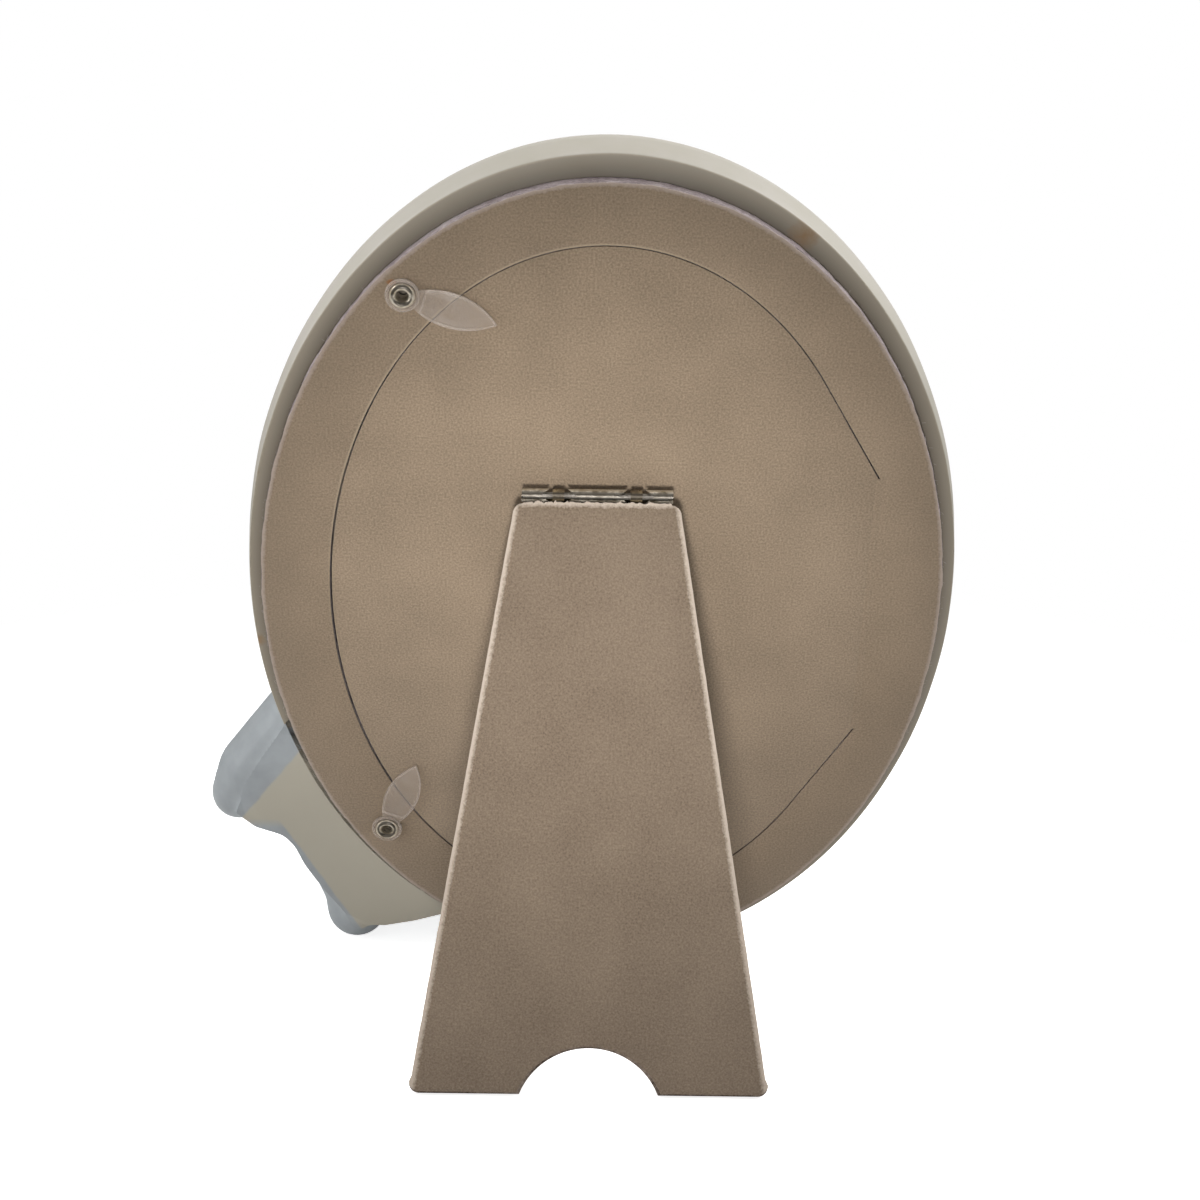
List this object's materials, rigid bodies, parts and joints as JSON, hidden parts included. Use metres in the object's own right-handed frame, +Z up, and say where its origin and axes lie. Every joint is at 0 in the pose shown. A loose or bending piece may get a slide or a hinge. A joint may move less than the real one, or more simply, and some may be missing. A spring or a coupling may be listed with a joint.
{
  "type": "oval tabletop picture frame",
  "caption": "Oval picture frame with a seated elephant calf at one lower corner, a hinged back door held by turn clips, and a fold-out easel leg.",
  "frame": {"origin": "middle of the ring's foot, on the surface the frame stands on", "axes": "+Z up, -Y the way the picture faces, +Y towards the easel leg, +X across the frame towards the calf"},
  "size_m": [0.2075, 0.1388, 0.244],
  "materials": {
    "cast_resin": "cream, smooth cast",
    "painted_resin": "pale grey paint on cast resin",
    "grey_board": "raw pressed board",
    "flock": "flocked paper, velvety",
    "leg_flock": "flocked paper, velvety, a little darker",
    "nickel": "nickel-plated, bright",
    "frosted_plastic": "frosted, translucent",
    "clear_glass": "clear",
    "print_paper": "blank coated paper",
    "card": "raw card"
  },
  "bodies": {
    "frame": {"frame_ring": "cast_resin", "calf_figure": "painted_resin", "glass_pane": "clear_glass", "photo_print": "print_paper", "backing_card": "card", "back_board": "grey_board", "back_board_flock": "flock", "eyelet_upper": "nickel", "eyelet_lower": "nickel"},
    "door": {"door_board": "grey_board", "door_flock": "flock", "hinge_leaf_door": "nickel", "hinge_pin": "nickel"},
    "leg": {"leg_board": "grey_board", "leg_flock": "leg_flock", "hinge_leaf_leg": "nickel"},
    "upper_clip": {"clip_upper": "frosted_plastic"},
    "lower_clip": {"clip_lower": "frosted_plastic"}
  },
  "joints": [
    {"name": "door_swing", "type": "hinge", "parent": "frame", "child": "door", "pos_m": [-0.071, 0.03758, 0.11958], "axis": [0, 0.2402, 0.9707], "range_deg": [0, 100]},
    {"name": "leg_fold", "type": "hinge", "parent": "door", "child": "leg", "pos_m": [0.0017, 0.04989, 0.1531], "axis": [1, 0, 0], "range_deg": [-27.2, 0]},
    {"name": "upper_clip_turn", "type": "hinge", "parent": "frame", "child": "upper_clip", "pos_m": [0.0501, 0.05959, 0.20561], "axis": [0, 0.9707, -0.2402], "continuous": true},
    {"name": "lower_clip_turn", "type": "hinge", "parent": "frame", "child": "lower_clip", "pos_m": [0.0602, 0.01993, 0.04535], "axis": [0, 0.9707, -0.2402], "continuous": true}
  ]
}
